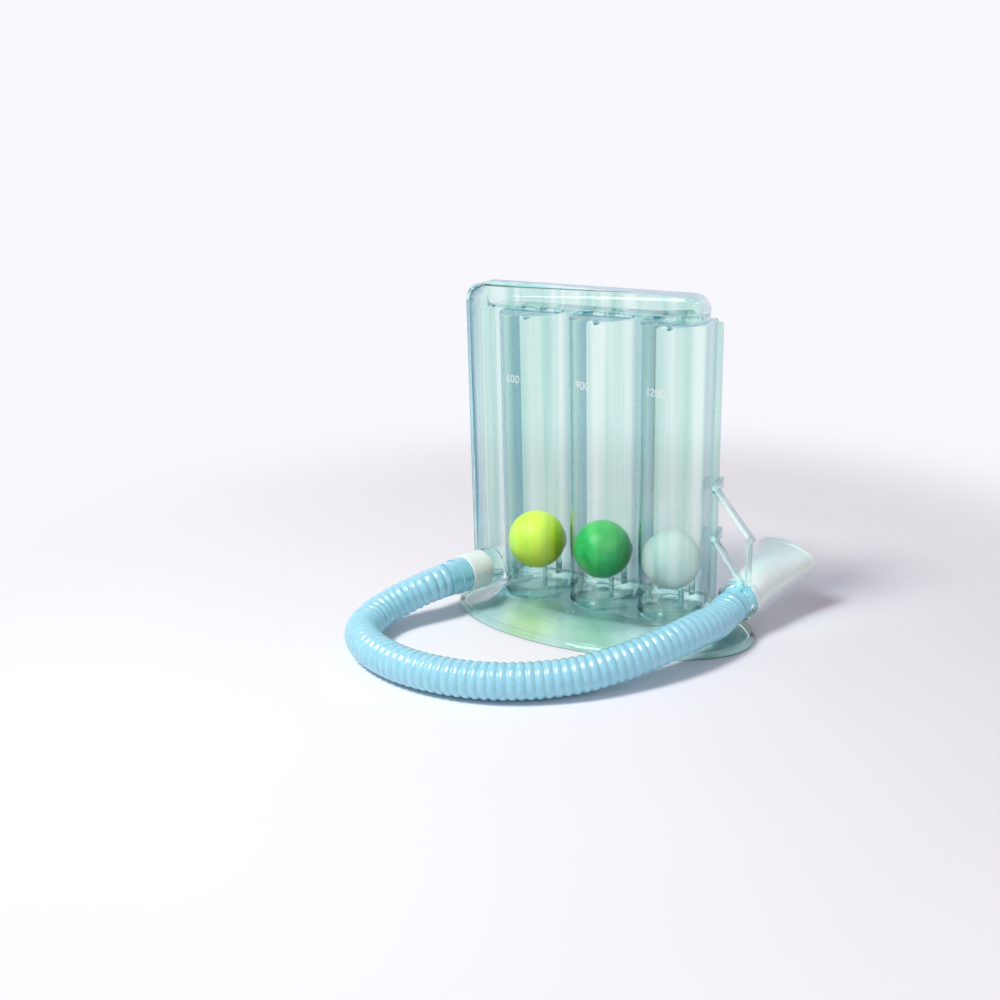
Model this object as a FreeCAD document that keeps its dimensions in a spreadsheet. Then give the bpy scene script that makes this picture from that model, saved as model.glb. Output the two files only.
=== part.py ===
import FreeCAD, Part
import math
import os
import Sketcher

# Three ball incentive spirometer. +Z up, -Y towards the user, +X towards the mouthpiece.
# Origin on the floor in the middle of the foot, under the axis of the middle column.

doc = FreeCAD.newDocument("IncentiveSpirometer")
sheet = doc.addObject("Spreadsheet::Sheet", "Sizes")

SIZES = [
    ("ball_radius", 14.0, "outside radius of each ball"),
    ("ball_wall", 1.0, "wall of the hollow balls"),
    ("ball_rest", 36.7, "height of a resting ball's centre"),
    ("ball_lift", 95.0, "free travel of a ball"),
    ("column_pitch", 34.75, "distance between column axes"),
    ("column_radius", 15.5, "outside radius of a column's front"),
    ("column_wall", 1.1, "wall of a column"),
    ("column_top", 149.0, "top of the column caps"),
    ("cap_thick", 1.3, "thickness of a column cap"),
    ("cap_round", 1.2, "rounding of a column's top edge"),
    ("shell_bottom", 10.5, "lower edge of both shells"),
    ("web_front", 13.0, "front face of the web between the columns"),
    ("shell_seam", 14.5, "plane where the two shells meet"),
    ("shell_back", 16.0, "rear face of the back shell"),
    ("duct_margin", 20.25, "left edge of the duct, past the left column"),
    ("duct_width", 9.2, "width of the duct's front face"),
    ("duct_front", 1.5, "front face of duct and manifold"),
    ("duct_wall", 1.2, "wall of duct and manifold"),
    ("manifold_high", 10.5, "height of the manifold above the column caps"),
    ("corner_round", 8.0, "rounding of the manifold's outer corners"),
    ("elbow_round", 3.0, "rounding of the inner corner of the duct"),
    ("manifold_short", 6.0, "right end of the manifold, short of the flange"),
    ("flange_margin", 2.05, "right edge of the flange, past the right column"),
    ("flange_top", 147.4, "top of the flange right of the manifold"),
    ("flange_round", 1.8, "rounding of the flange's top corner"),
    ("outlet_width", 7.0, "width of one outlet slot"),
    ("outlet_front", 5.0, "front edge of the outlet slots"),
    ("outlet_back", 12.6, "rear edge of the outlet slots"),
    ("outlet_rib", 2.4, "rib between two outlet slots"),
    ("stop_height", 1.5, "height of the rib that stops a ball"),
    ("stop_width", 1.6, "width of the rib that stops a ball"),
    ("stop_front", 8.5, "front end of that rib, from the column's axis"),
    ("stop_rear", 13.5, "rear end of that rib, from the column's axis"),
    ("root", 0.4, "depth by which a rib or finger enters what carries it"),
    ("past", 1.0, "length by which a cut runs out of the material"),
    ("port_inset", 7.0, "port centre, from the left edge of the duct"),
    ("port_z", 17.5, "height of the port axis"),
    ("port_turn", 22.0, "turn of the port axis to the left, degrees"),
    ("pot_radius", 8.4, "outside radius of the round foot of the duct"),
    ("boss_radius", 9.0, "radius of the slanted boss behind the cuff"),
    ("boss_out", 3.3, "length of the boss in front of the duct"),
    ("boss_in", 4.0, "length of the boss inside the duct's foot"),
    ("spigot_radius", 7.0, "outside radius of the port spigot"),
    ("spigot_bore", 5.6, "bore radius of the port spigot"),
    ("spigot_length", 9.0, "length of the port spigot"),
    ("cuff_radius", 9.2, "outside radius of the port cuff"),
    ("cuff_length", 12.0, "length of the port cuff"),
    ("cuff_round", 0.8, "rounding of the port cuff"),
    ("neck_radius", 6.6, "outside radius of the port cuff's neck"),
    ("neck_bore", 5.2, "bore radius of the port cuff's neck"),
    ("neck_length", 8.0, "length of the port cuff's neck"),
    ("collar_radius", 8.8, "radius of the first step of the hose collar"),
    ("collar_length", 11.8, "length of the hose collar"),
    ("collar_step", 6.0, "length of the first step of the hose collar"),
    ("hose_radius", 8.2, "outside radius of the hose over its ribs"),
    ("hose_bore", 6.6, "bore radius of the hose"),
    ("end_radius", 7.9, "outside radius of the collar at the mouthpiece"),
    ("end_outside", 8.0, "length of that collar outside the mouthpiece"),
    ("end_inside", 10.0, "length of that collar inside the mouthpiece"),
    ("pull_gap", 0.05, "radial clearance of the mouthpiece on the collar"),
    ("end_gap", 0.3, "gap between the collar's end and the socket's step"),
    ("socket_radius", 9.5, "outside radius of the mouthpiece's socket"),
    ("socket_length", 12.0, "length of the mouthpiece's socket"),
    ("mouth_length", 43.6, "whole length of the mouthpiece"),
    ("mouth_wide", 15.2, "half width of the mouth end"),
    ("mouth_thick", 6.9, "half thickness of the mouth end"),
    ("mouth_wall", 1.5, "wall of the mouthpiece"),
    ("mouth_lip", 2.2, "length of the lip at the mouth end"),
    ("lip_proud", 0.7, "height of the lip"),
    ("seat_gap", 0.2, "gap between a seat and its column"),
    ("seat_top", 16.5, "top of the orifice plate"),
    ("seat_plate", 1.5, "thickness of the orifice plate"),
    ("seat_wall", 1.4, "wall of the seat's skirt"),
    ("orifice_left", 3.6, "orifice radius of the 600 column"),
    ("orifice_middle", 4.5, "orifice radius of the 900 column"),
    ("orifice_right", 5.4, "orifice radius of the 1200 column"),
    ("finger_inner", 10.0, "inner radius of the fingers under a ball"),
    ("finger_deep", 2.6, "radial depth of a finger"),
    ("finger_thick", 1.4, "thickness of a finger"),
    ("finger_top", 26.6, "top of the fingers"),
    ("foot_long", 76.0, "half length of the foot"),
    ("foot_deep", 38.0, "half depth of the foot"),
    ("foot_plate", 5.0, "height of the foot's rim"),
    ("foot_round", 2.6, "rounding of the rim"),
    ("foot_wall", 2.0, "wall of the foot"),
    ("dome_wall", 5.0, "wall at the foot of the raised middle"),
    ("dome_top", 13.0, "top of the raised middle of the foot"),
    ("dome_centre", 30.0, "centres of the round ends of the raised middle"),
    ("dome_radius", 27.0, "radius of the round ends of the raised middle at its foot"),
    ("dome_crown", 21.0, "radius of the round ends of the raised middle at its top"),
    ("dome_round", 4.0, "rounding of the raised middle"),
    ("ledge_margin", 3.75, "length of the ledge under the shells past the outer columns"),
    ("ledge_front", 8.0, "front of that ledge"),
    ("ledge_rear", 19.0, "rear of that ledge"),
    ("ledge_round", 3.0, "rounding of the ledge's rear corners"),
    ("inlet_radius", 9.0, "air inlet under each column"),
    ("stiffener_x", 57.0, "place of the outer stiffeners"),
    ("stiffener_inner", 42.0, "place of the inner stiffeners"),
    ("spine_back", 20.0, "rear end of the middle stiffener that reaches the floor"),
    ("stiffener_thick", 1.5, "thickness of the stiffeners"),
    ("stiffener_half", 22.8, "half length of the stiffeners"),
    ("stiffener_low", 1.2, "lower edge of the stiffeners"),
    ("notch_wide", 30.0, "width of the air notch in the rear rim"),
    ("notch_high", 2.0, "height of the air notch"),
    ("holder_front", 5.0, "front face of the mouthpiece holder"),
    ("holder_deep", 4.0, "depth of the mouthpiece holder"),
    ("holder_bar", 2.0, "thickness of the holder's bars"),
    ("ring_gap", 0.25, "gap between the holder's ring and the collar"),
    ("ring_wall", 1.8, "wall of the holder's ring"),
    ("ring_deep", 3.5, "length of the ring along the collar"),
    ("ring_back", 1.2, "gap between the ring and the mouthpiece"),
    ("ring_reach", 20.0, "length by which the ring's hole is cut past its ends"),
    ("post_foot", 20.0, "lower end of the holder's post"),
    ("post_x", 69.4, "left face of the holder's post"),
    ("post_top", 50.5, "top of the holder's post"),
    ("bar_high", 71.4, "height where the upper bar starts"),
    ("bar_low", 46.6, "height where the lower bar starts"),
    ("bar_drop", 3.0, "drop of the upper bar's end below the post's top"),
    ("tab_high", 5.0, "height of the holder's tabs"),
    ("tab_thick", 2.0, "thickness of the holder's tabs"),
    ("tab_drop", 1.5, "drop of a tab's foot below its bar"),
]

v = {}
for row, (name, value, meaning) in enumerate(SIZES, 1):
    sheet.set("A%d" % row, meaning)
    sheet.set("B%d" % row, str(value))
    sheet.setAlias("B%d" % row, name)
    v[name] = value
doc.recompute()

# places that follow from several sizes
FOLLOWS = {
    "duct_top": "(column_top + manifold_high)",
    "duct_left": "(column_pitch + column_radius + duct_margin)",
    "flange_right": "(column_pitch + column_radius + flange_margin)",
    "manifold_right": "(column_pitch + column_radius + flange_margin - manifold_short)",
    "port_x": "(column_pitch + column_radius + duct_margin - port_inset)",
    "ledge_half": "(column_pitch + column_radius + ledge_margin)",
}


def s(text):
    # a bare word that is a size's name becomes a reference to the sheet
    for name, meaning in FOLLOWS.items():
        text = text.replace(name, meaning)
    out = []
    word = ""
    for letter in text + " ":
        if letter.isalnum() or letter == "_":
            word += letter
            continue
        out.append("Sizes." + word if word in v else word)
        word = ""
        out.append(letter)
    return "".join(out).strip()


def value_of(text):
    return float(sheet.evalExpression(s(text)))


def new_body(label):
    body = doc.addObject("PartDesign::Body", label)
    body.Label = label
    return body


def prim(body, kind, name, sizes, place, turn=None):
    feature = doc.addObject("PartDesign::" + kind, name)
    body.addObject(feature)
    rotation = turn if turn else FreeCAD.Rotation()
    feature.Placement = FreeCAD.Placement(FreeCAD.Vector(0, 0, 0), rotation)
    for key, text in sizes.items():
        feature.setExpression(key, s(text))
    for axis, text in zip("xyz", place):
        feature.setExpression("Placement.Base." + axis, s(text))
    return feature


def plane(body, role):
    for item in body.Origin.OriginFeatures:
        if item.Role == role:
            return item
    return None


def new_sketch(body, name, role, offset):
    sketch = doc.addObject("Sketcher::SketchObject", name)
    body.addObject(sketch)
    sketch.AttachmentSupport = [(plane(body, role), "")]
    sketch.MapMode = "FlatFace"
    sketch.setExpression("AttachmentOffset.Base.z", s(offset))
    return sketch


def polygon(body, name, role, offset, corners):
    sketch = new_sketch(body, name, role, offset)
    points = [FreeCAD.Vector(value_of(a), value_of(b), 0) for a, b in corners]
    count = len(points)
    for i in range(count):
        sketch.addGeometry(Part.LineSegment(points[i], points[(i + 1) % count]), False)
    for i in range(count):
        sketch.addConstraint(Sketcher.Constraint("Coincident", i, 2, (i + 1) % count, 1))
    for i, (a, b) in enumerate(corners):
        k = sketch.addConstraint(Sketcher.Constraint("DistanceX", -1, 1, i, 1, points[i].x))
        sketch.setExpression("Constraints[%d]" % k, s(a))
        k = sketch.addConstraint(Sketcher.Constraint("DistanceY", -1, 1, i, 1, points[i].y))
        sketch.setExpression("Constraints[%d]" % k, s(b))
    return sketch


def circle(body, name, role, offset, radius):
    sketch = new_sketch(body, name, role, offset)
    sketch.addGeometry(Part.Circle(FreeCAD.Vector(0, 0, 0), FreeCAD.Vector(0, 0, 1), value_of(radius)), False)
    sketch.addConstraint(Sketcher.Constraint("Coincident", 0, 3, -1, 1))
    k = sketch.addConstraint(Sketcher.Constraint("Radius", 0, value_of(radius)))
    sketch.setExpression("Constraints[%d]" % k, s(radius))
    return sketch


def ellipse(body, name, role, offset, long_half, short_half):
    sketch = new_sketch(body, name, role, offset)
    a = value_of(long_half)
    b = value_of(short_half)
    zero = FreeCAD.Vector(0, 0, 0)
    sketch.addGeometry(Part.Ellipse(FreeCAD.Vector(a, 0, 0), FreeCAD.Vector(0, b, 0), zero), False)
    sketch.exposeInternalGeometry(0)
    sketch.addConstraint(Sketcher.Constraint("Coincident", 0, 3, -1, 1))
    sketch.addConstraint(Sketcher.Constraint("Horizontal", 1))
    k = sketch.addConstraint(Sketcher.Constraint("Distance", 1, 2 * a))
    sketch.setExpression("Constraints[%d]" % k, s("2 * (" + long_half + ")"))
    k = sketch.addConstraint(Sketcher.Constraint("Distance", 2, 2 * b))
    sketch.setExpression("Constraints[%d]" % k, s("2 * (" + short_half + ")"))
    return sketch


def obround(body, name, role, offset, centre, radius):
    sketch = new_sketch(body, name, role, offset)
    c = value_of(centre)
    r = value_of(radius)
    up = FreeCAD.Vector(0, 0, 1)
    right = Part.Circle(FreeCAD.Vector(c, 0, 0), up, r)
    left = Part.Circle(FreeCAD.Vector(-c, 0, 0), up, r)
    sketch.addGeometry(Part.ArcOfCircle(right, -math.pi / 2, math.pi / 2), False)
    sketch.addGeometry(Part.LineSegment(FreeCAD.Vector(c, r, 0), FreeCAD.Vector(-c, r, 0)), False)
    sketch.addGeometry(Part.ArcOfCircle(left, math.pi / 2, 3 * math.pi / 2), False)
    sketch.addGeometry(Part.LineSegment(FreeCAD.Vector(-c, -r, 0), FreeCAD.Vector(c, -r, 0)), False)
    sketch.addConstraint(Sketcher.Constraint("Tangent", 0, 2, 1, 1))
    sketch.addConstraint(Sketcher.Constraint("Tangent", 1, 2, 2, 1))
    sketch.addConstraint(Sketcher.Constraint("Tangent", 2, 2, 3, 1))
    sketch.addConstraint(Sketcher.Constraint("Tangent", 3, 2, 0, 1))
    sketch.addConstraint(Sketcher.Constraint("PointOnObject", 0, 3, -1))
    sketch.addConstraint(Sketcher.Constraint("Symmetric", 0, 3, 2, 3, -1, 1))
    k = sketch.addConstraint(Sketcher.Constraint("DistanceX", -1, 1, 0, 3, c))
    sketch.setExpression("Constraints[%d]" % k, s(centre))
    k = sketch.addConstraint(Sketcher.Constraint("Radius", 0, r))
    sketch.setExpression("Constraints[%d]" % k, s(radius))
    return sketch


def d_profile(body, name, offset, x, radius, rear):
    # round towards the front, straight sides, flat at the rear
    sketch = new_sketch(body, name, "XY_Plane", offset)
    c = value_of(x)
    r = value_of(radius)
    y = value_of(rear)
    up = FreeCAD.Vector(0, 0, 1)
    bow = Part.Circle(FreeCAD.Vector(c, 0, 0), up, r)
    corners = [FreeCAD.Vector(c + r, 0, 0), FreeCAD.Vector(c + r, y, 0)]
    corners += [FreeCAD.Vector(c - r, y, 0), FreeCAD.Vector(c - r, 0, 0)]
    sketch.addGeometry(Part.ArcOfCircle(bow, math.pi, 2 * math.pi), False)
    for i in range(3):
        sketch.addGeometry(Part.LineSegment(corners[i], corners[i + 1]), False)
    sketch.addConstraint(Sketcher.Constraint("Tangent", 0, 2, 1, 1))
    sketch.addConstraint(Sketcher.Constraint("Coincident", 1, 2, 2, 1))
    sketch.addConstraint(Sketcher.Constraint("Coincident", 2, 2, 3, 1))
    sketch.addConstraint(Sketcher.Constraint("Tangent", 3, 2, 0, 1))
    sketch.addConstraint(Sketcher.Constraint("Horizontal", 2))
    sketch.addConstraint(Sketcher.Constraint("PointOnObject", 0, 1, -1))
    sketch.addConstraint(Sketcher.Constraint("PointOnObject", 0, 2, -1))
    k = sketch.addConstraint(Sketcher.Constraint("DistanceX", -1, 1, 0, 2, c + r))
    sketch.setExpression("Constraints[%d]" % k, s(x + " + " + radius))
    k = sketch.addConstraint(Sketcher.Constraint("Radius", 0, r))
    sketch.setExpression("Constraints[%d]" % k, s(radius))
    k = sketch.addConstraint(Sketcher.Constraint("DistanceY", -1, 1, 1, 2, y))
    sketch.setExpression("Constraints[%d]" % k, s(rear))
    return sketch


def in_three(body, name, originals):
    # repeats what belongs to the left column in the other two
    doc.recompute()
    feature = doc.addObject("PartDesign::LinearPattern", name)
    body.addObject(feature)
    feature.Originals = originals
    feature.Direction = (plane(body, "X_Axis"), [""])
    feature.Occurrences = 3
    feature.setExpression("Length", s("2 * column_pitch"))
    body.Tip = feature
    doc.recompute()
    return feature


def extrude(body, kind, name, sketch, length, reverse=False):
    feature = doc.addObject("PartDesign::" + kind, name)
    body.addObject(feature)
    feature.Profile = sketch
    feature.Reversed = reverse
    feature.setExpression("Length", s(length))
    doc.recompute()
    return feature


def loft(body, kind, name, first, last):
    feature = doc.addObject("PartDesign::" + kind, name)
    body.addObject(feature)
    feature.Profile = first
    feature.Sections = [last]
    feature.Ruled = True
    doc.recompute()
    return feature


def edges_where(shape, test):
    names = []
    for i, edge in enumerate(shape.Edges, 1):
        box = edge.BoundBox
        if test(box):
            names.append("Edge%d" % i)
    return names


def round_edges(body, name, radius, test):
    doc.recompute()
    base = body.Tip
    names = edges_where(base.Shape, test)
    feature = doc.addObject("PartDesign::Fillet", name)
    body.addObject(feature)
    feature.Base = (base, names)
    feature.setExpression("Radius", s(radius))
    doc.recompute()
    print(name, "rounds", len(names), "edges")
    return feature


def at_xz(box, x, z):
    # an edge along Y that stands at this X and Z
    thin = box.XLength < 0.01 and box.ZLength < 0.01
    return thin and abs(box.XMin - x) < 0.01 and abs(box.ZMin - z) < 0.01


ABOUT_X_BACK = FreeCAD.Rotation(FreeCAD.Vector(1, 0, 0), -90)
ABOUT_X_FRONT = FreeCAD.Rotation(FreeCAD.Vector(1, 0, 0), 90)
PORT_TURN = FreeCAD.Rotation(FreeCAD.Vector(0, 0, 1), -v["port_turn"]).multiply(ABOUT_X_FRONT)
FIRST = "-column_pitch"
COLUMNS = [("left", FIRST, "orifice_left")]
COLUMNS.append(("middle", "0", "orifice_middle"))
COLUMNS.append(("right", "column_pitch", "orifice_right"))

# Front shell: web, three columns, duct, manifold, round foot of the duct and the port.
front = new_body("front_shell")
OUTLINE = [("-duct_left", "shell_bottom"), ("flange_right", "shell_bottom")]
OUTLINE += [("flange_right", "flange_top"), ("manifold_right", "flange_top")]
OUTLINE += [("manifold_right", "duct_top"), ("-duct_left", "duct_top")]
web = polygon(front, "web_outline", "XZ_Plane", "-shell_seam", OUTLINE)
extrude(front, "Pad", "web", web, "shell_seam - web_front")
sketch = d_profile(front, "column_outline", "shell_bottom", FIRST, "column_radius", "shell_seam")
column = extrude(front, "Pad", "column", sketch, "column_top - shell_bottom")
in_three(front, "columns", [column])
top = v["column_top"]
round_edges(front, "cap_edges", "cap_round",
            lambda b: b.ZLength < 0.01 and abs(b.ZMin - top) < 0.01 and b.YMin < 1)
duct = {"Length": "duct_width", "Width": "shell_seam - duct_front", "Height": "duct_top - port_z"}
prim(front, "AdditiveBox", "duct", duct, ("-duct_left", "duct_front", "port_z"))
manifold = {"Length": "duct_left + manifold_right", "Width": "shell_seam - duct_front"}
manifold["Height"] = "manifold_high"
prim(front, "AdditiveBox", "manifold", manifold, ("-duct_left", "duct_front", "column_top"))
pot = {"Radius": "pot_radius", "Height": "shell_seam - duct_front"}
prim(front, "AdditiveCylinder", "duct_foot", pot, ("-port_x", "duct_front", "port_z"), ABOUT_X_BACK)
channel = {"Length": "duct_width - 2 * duct_wall", "Width": "shell_seam - duct_front"}
channel["Height"] = "duct_top - duct_wall - port_z"
prim(front, "SubtractiveBox", "duct_channel", channel,
     ("duct_wall - duct_left", "duct_front + duct_wall", "port_z"))
cross = {"Length": "duct_left + manifold_right - 2 * duct_wall", "Width": "shell_seam - duct_front"}
cross["Height"] = "manifold_high - 2 * duct_wall"
prim(front, "SubtractiveBox", "manifold_channel", cross,
     ("duct_wall - duct_left", "duct_front + duct_wall", "column_top + duct_wall"))
chamber = {"Radius": "pot_radius - duct_wall", "Height": "shell_seam - duct_front"}
prim(front, "SubtractiveCylinder", "foot_chamber", chamber,
     ("-port_x", "duct_front + duct_wall", "port_z"), ABOUT_X_BACK)
low = v["column_top"] + v["duct_wall"]
high = value_of("duct_top") - v["duct_wall"]
lefts = v["duct_wall"] - value_of("duct_left")
rights = value_of("manifold_right") - v["duct_wall"]
round_edges(front, "channel_corners", "corner_round - duct_wall",
            lambda b: at_xz(b, lefts, high) or at_xz(b, rights, high))
round_edges(front, "channel_elbow", "elbow_round + duct_wall",
            lambda b: at_xz(b, v["duct_width"] - v["duct_wall"] - value_of("duct_left"), low))
round_edges(front, "outer_corners", "corner_round",
            lambda b: at_xz(b, -value_of("duct_left"), value_of("duct_top")) or at_xz(b, value_of("manifold_right"), value_of("duct_top")))
round_edges(front, "elbow", "elbow_round", lambda b: at_xz(b, v["duct_width"] - value_of("duct_left"), top))
round_edges(front, "flange_corner", "flange_round", lambda b: at_xz(b, value_of("flange_right"), v["flange_top"]))
along_x = "sin(port_turn)"
along_y = "cos(port_turn)"
boss = {"Radius": "boss_radius", "Height": "boss_out + boss_in"}
start = ("-port_x + boss_in * " + along_x, "duct_front + boss_in * " + along_y, "port_z")
prim(front, "AdditiveCylinder", "port_boss", boss, start, PORT_TURN)
spigot = {"Radius": "spigot_radius", "Height": "boss_out + spigot_length"}
prim(front, "AdditiveCylinder", "port_spigot", spigot, ("-port_x", "duct_front", "port_z"), PORT_TURN)
sketch = d_profile(front, "bore_outline", "shell_bottom - past", FIRST, "column_radius - column_wall",
                   "shell_seam + past")
bore = extrude(front, "Pocket", "bore", sketch, "column_top - cap_thick - shell_bottom + past", True)
in_three(front, "bores", [bore])
bore = {"Radius": "spigot_bore", "Height": "boss_out + boss_in + spigot_length + 3 * past"}
start = ("-port_x + (boss_in + past) * " + along_x, "duct_front + (boss_in + past) * " + along_y, "port_z")
prim(front, "SubtractiveCylinder", "port_bore", bore, start, PORT_TURN)
slot = {"Length": "outlet_width", "Width": "outlet_back - outlet_front"}
slot["Height"] = "cap_thick + duct_wall + 1.5 * past"
place = (FIRST + " - outlet_rib / 2 - outlet_width", "outlet_front", "column_top - cap_thick - past / 2")
slot_left = prim(front, "SubtractiveBox", "outlet_left", slot, place)
place = (FIRST + " + outlet_rib / 2", "outlet_front", "column_top - cap_thick - past / 2")
slot_right = prim(front, "SubtractiveBox", "outlet_right", slot, place)
in_three(front, "outlets", [slot_left, slot_right])
stop = {"Length": "stop_width", "Width": "stop_front + stop_rear", "Height": "stop_height + root"}
place = (FIRST + " - stop_width / 2", "-stop_front", "column_top - cap_thick - stop_height")
stop_rib = prim(front, "AdditiveBox", "ball_stop", stop, place)
in_three(front, "ball_stops", [stop_rib])

# Back shell: the flat plate that closes columns, duct and manifold from behind.
back = new_body("back_shell")
sketch = polygon(back, "back_outline", "XZ_Plane", "-shell_back", OUTLINE)
extrude(back, "Pad", "back_plate", sketch, "shell_back - shell_seam")
lobe = {"Radius": "pot_radius", "Height": "shell_back - shell_seam"}
prim(back, "AdditiveCylinder", "back_lobe", lobe, ("-port_x", "shell_seam", "port_z"), ABOUT_X_BACK)
round_edges(back, "back_corners", "corner_round",
            lambda b: at_xz(b, -value_of("duct_left"), value_of("duct_top")) or at_xz(b, value_of("manifold_right"), value_of("duct_top")))
round_edges(back, "back_flange_corner", "flange_round", lambda b: at_xz(b, value_of("flange_right"), v["flange_top"]))

# Foot: oval rim, raised middle, hollow below, recess for the shells, air inlets.
foot = new_body("base_foot")
sketch = ellipse(foot, "rim_outline", "XY_Plane", "0", "foot_long", "foot_deep")
extrude(foot, "Pad", "rim", sketch, "foot_plate")
round_edges(foot, "rim_edge", "foot_round", lambda b: abs(b.ZMin - v["foot_plate"]) < 0.01)
begin = obround(foot, "dome_foot_outline", "XY_Plane", "foot_wall", "dome_centre", "dome_radius")
finish = obround(foot, "dome_crown_outline", "XY_Plane", "dome_top", "dome_centre", "dome_crown")
loft(foot, "AdditiveLoft", "dome", begin, finish)
round_edges(foot, "dome_edge", "dome_round",
            lambda b: b.ZLength < 0.01 and abs(b.ZMin - v["dome_top"]) < 0.01)
LEDGE = [("-ledge_half", "ledge_front"), ("ledge_half", "ledge_front")]
LEDGE += [("ledge_half", "ledge_rear"), ("-ledge_half", "ledge_rear")]
sketch = polygon(foot, "ledge_outline", "XY_Plane", "foot_wall", LEDGE)
extrude(foot, "Pad", "ledge", sketch, "dome_top - foot_wall")
round_edges(foot, "ledge_corners", "ledge_round",
            lambda b: b.XLength < 0.01 and b.YLength < 0.01 and b.ZLength > 2 and abs(b.YMin - v["ledge_rear"]) < 0.01)
sketch = ellipse(foot, "hollow_outline", "XY_Plane", "0", "foot_long - foot_wall", "foot_deep - foot_wall")
extrude(foot, "Pocket", "hollow", sketch, "foot_plate - foot_wall", True)
sketch = obround(foot, "dome_hollow_outline", "XY_Plane", "0", "dome_centre", "dome_radius - dome_wall")
extrude(foot, "Pocket", "dome_hollow", sketch, "shell_bottom - foot_wall", True)
for side, sign in (("left", "-"), ("right", "")):
    for place in ("stiffener_x", "stiffener_inner"):
        rib = {"Length": "stiffener_thick", "Width": "2 * stiffener_half"}
        rib["Height"] = "foot_plate - foot_wall + root - stiffener_low"
        prim(foot, "AdditiveBox", place + "_" + side, rib,
             (sign + place + " - stiffener_thick / 2", "-stiffener_half", "stiffener_low"))
spine = {"Length": "stiffener_thick", "Width": "foot_deep - foot_wall / 2 + spine_back"}
spine["Height"] = "foot_plate - foot_wall + root"
prim(foot, "AdditiveBox", "spine", spine, ("-stiffener_thick / 2", "foot_wall / 2 - foot_deep", "0"))
spine = {"Length": "stiffener_thick", "Width": "dome_crown + spine_back", "Height": "shell_bottom - foot_wall + root"}
prim(foot, "AdditiveBox", "spine_middle", spine, ("-stiffener_thick / 2", "-dome_crown", "0"))
sketch = d_profile(foot, "recess_outline", "shell_bottom", FIRST, "column_radius", "shell_back")
recess = extrude(foot, "Pocket", "recess", sketch, "dome_top - shell_bottom + past", True)
inlet = {"Radius": "inlet_radius", "Height": "foot_wall + 3 * past"}
hole = prim(foot, "SubtractiveCylinder", "inlet", inlet, (FIRST, "0", "shell_bottom - foot_wall - 2 * past"))
in_three(foot, "recesses", [recess, hole])
strip = {"Length": "duct_left + flange_right", "Width": "shell_back - web_front", "Height": "dome_top"}
prim(foot, "SubtractiveBox", "recess_web", strip, ("-duct_left", "web_front", "shell_bottom"))
notch = {"Length": "notch_wide", "Width": "foot_deep", "Height": "notch_high"}
prim(foot, "SubtractiveBox", "air_notch", notch, ("-notch_wide / 2", "foot_deep / 2", "0"))
doc.recompute()

# Orifice seats: a D shaped plug with an orifice and four fingers that carry the ball.
EIGHTH = FreeCAD.Rotation(FreeCAD.Vector(0, 0, 1), 45)
for side, x, hole in COLUMNS:
    seat = new_body("orifice_seat_" + side)
    radius = "column_radius - column_wall - seat_gap"
    sketch = d_profile(seat, "plug_outline_" + side, "shell_bottom", "0", radius, "shell_seam - seat_gap")
    extrude(seat, "Pad", "plug_" + side, sketch, "seat_top - shell_bottom")
    sketch = d_profile(seat, "room_outline_" + side, "shell_bottom - past", "0", radius + " - seat_wall",
                       "shell_seam - seat_gap - seat_wall")
    extrude(seat, "Pocket", "skirt_room_" + side, sketch, "seat_top - seat_plate - shell_bottom + past", True)
    opening = {"Radius": hole, "Height": "seat_plate + 2 * past"}
    prim(seat, "SubtractiveCylinder", "orifice_" + side, opening, ("0", "0", "seat_top - seat_plate - past"))
    finger = {"Length": "finger_deep", "Width": "finger_thick", "Height": "finger_top - seat_top + root"}
    place = ["(finger_inner + finger_thick / 2) * cos(45)", "(finger_inner - finger_thick / 2) * sin(45)"]
    place.append("seat_top - root")
    first_finger = prim(seat, "AdditiveBox", "finger_" + side, finger, place, EIGHTH)
    doc.recompute()
    ring = doc.addObject("PartDesign::PolarPattern", "fingers_" + side)
    seat.addObject(ring)
    ring.Originals = [first_finger]
    ring.Axis = (plane(seat, "Z_Axis"), [""])
    ring.Angle = 360
    ring.Occurrences = 4
    seat.Tip = ring
    seat.setExpression("Placement.Base.x", s(x))

# Balls: thin hollow spheres, free in the columns.
for side, x, hole in COLUMNS:
    ball = new_body("ball_" + side)
    prim(ball, "AdditiveSphere", "skin_" + side, {"Radius": "ball_radius"}, ("0", "0", "0"))
    prim(ball, "SubtractiveSphere", "core_" + side, {"Radius": "ball_radius - ball_wall"}, ("0", "0", "0"))
    ball.setExpression("Placement.Base.x", s(x))
    ball.setExpression("Placement.Base.z", s("ball_rest"))
doc.recompute()

# Port cuff and hose collar, built along local +Z and laid on the slanted port axis.
cuff = new_body("port_cuff")
prim(cuff, "AdditiveCylinder", "cuff_body", {"Radius": "cuff_radius", "Height": "cuff_length"}, ("0", "0", "boss_out"))
neck = {"Radius": "neck_radius", "Height": "cuff_length + neck_length"}
prim(cuff, "AdditiveCylinder", "cuff_neck", neck, ("0", "0", "boss_out"))
bore = {"Radius": "spigot_radius", "Height": "spigot_length + past"}
prim(cuff, "SubtractiveCylinder", "cuff_socket", bore, ("0", "0", "boss_out - past"))
bore = {"Radius": "neck_bore", "Height": "cuff_length + neck_length + 2 * past"}
prim(cuff, "SubtractiveCylinder", "cuff_bore", bore, ("0", "0", "boss_out - past"))
shoulder = v["boss_out"] + v["cuff_length"]
round_edges(cuff, "cuff_edge", "cuff_round",
            lambda b: b.XLength > 2 * v["neck_radius"] + 1 and abs(b.ZMin - shoulder) < 0.01)
cuff.Placement = FreeCAD.Placement(FreeCAD.Vector(0, 0, 0), PORT_TURN)
cuff.setExpression("Placement.Base.x", s("-port_x"))
cuff.setExpression("Placement.Base.y", s("duct_front"))
cuff.setExpression("Placement.Base.z", s("port_z"))

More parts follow.
